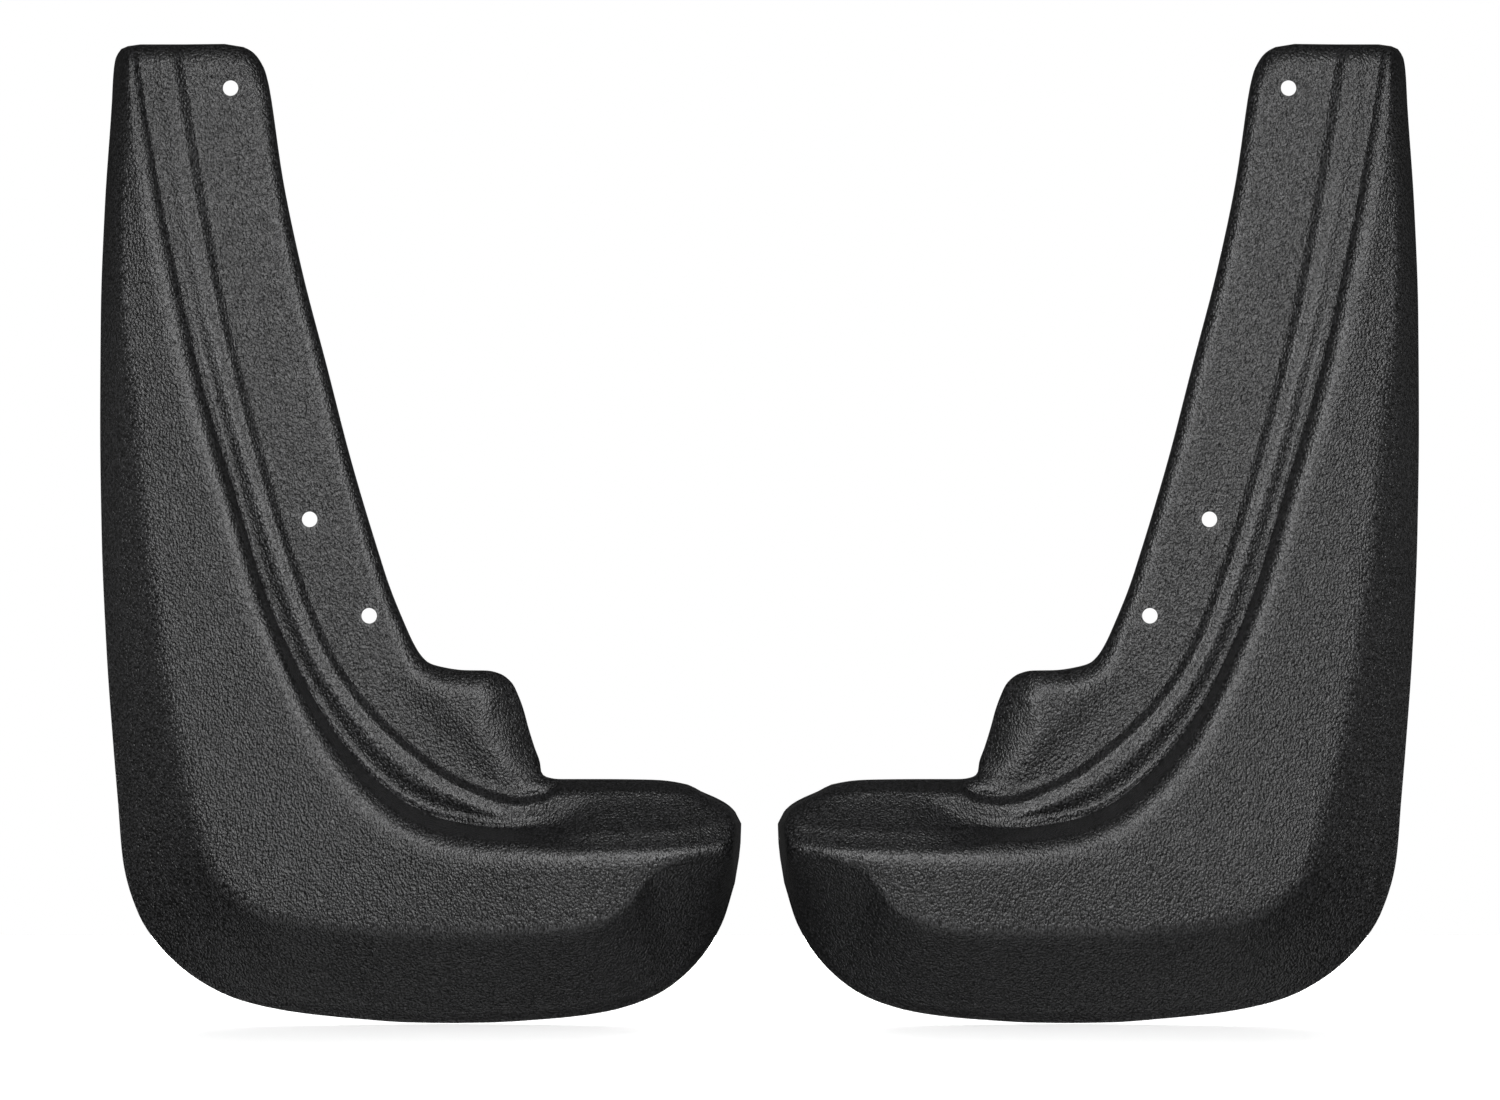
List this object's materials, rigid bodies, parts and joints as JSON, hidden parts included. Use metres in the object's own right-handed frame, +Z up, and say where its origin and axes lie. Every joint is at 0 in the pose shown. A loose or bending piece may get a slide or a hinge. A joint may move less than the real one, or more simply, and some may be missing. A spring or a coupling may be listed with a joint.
{
  "type": "mud flap",
  "caption": "Pair of moulded mud flaps, left and right: grained black sheet with a flat screw flange, beaded wall, raised splash face and deep foot.",
  "frame": {"origin": "centre of the left flap's top screw hole, on the flange's front face", "axes": "+Z up as fitted, +X across the vehicle from the left flap to the right one, -Y out of the grained front face, the way a screw leaves"},
  "size_m": [0.5944, 0.0465, 0.4413],
  "materials": {
    "grained_black_plastic": "semi-matt black thermoplastic with a fine leather grain that flattens out where the sheet is stretched over the foot"
  },
  "bodies": {
    "left_flap": {"left_mud_flap": "grained_black_plastic"},
    "right_flap": {"right_mud_flap": "grained_black_plastic"}
  },
  "joints": [
    {"name": "flap_spacing", "type": "slide", "parent": "left_flap", "child": "right_flap", "axis": [1, 0, 0], "range_m": [0, 1.2]}
  ]
}
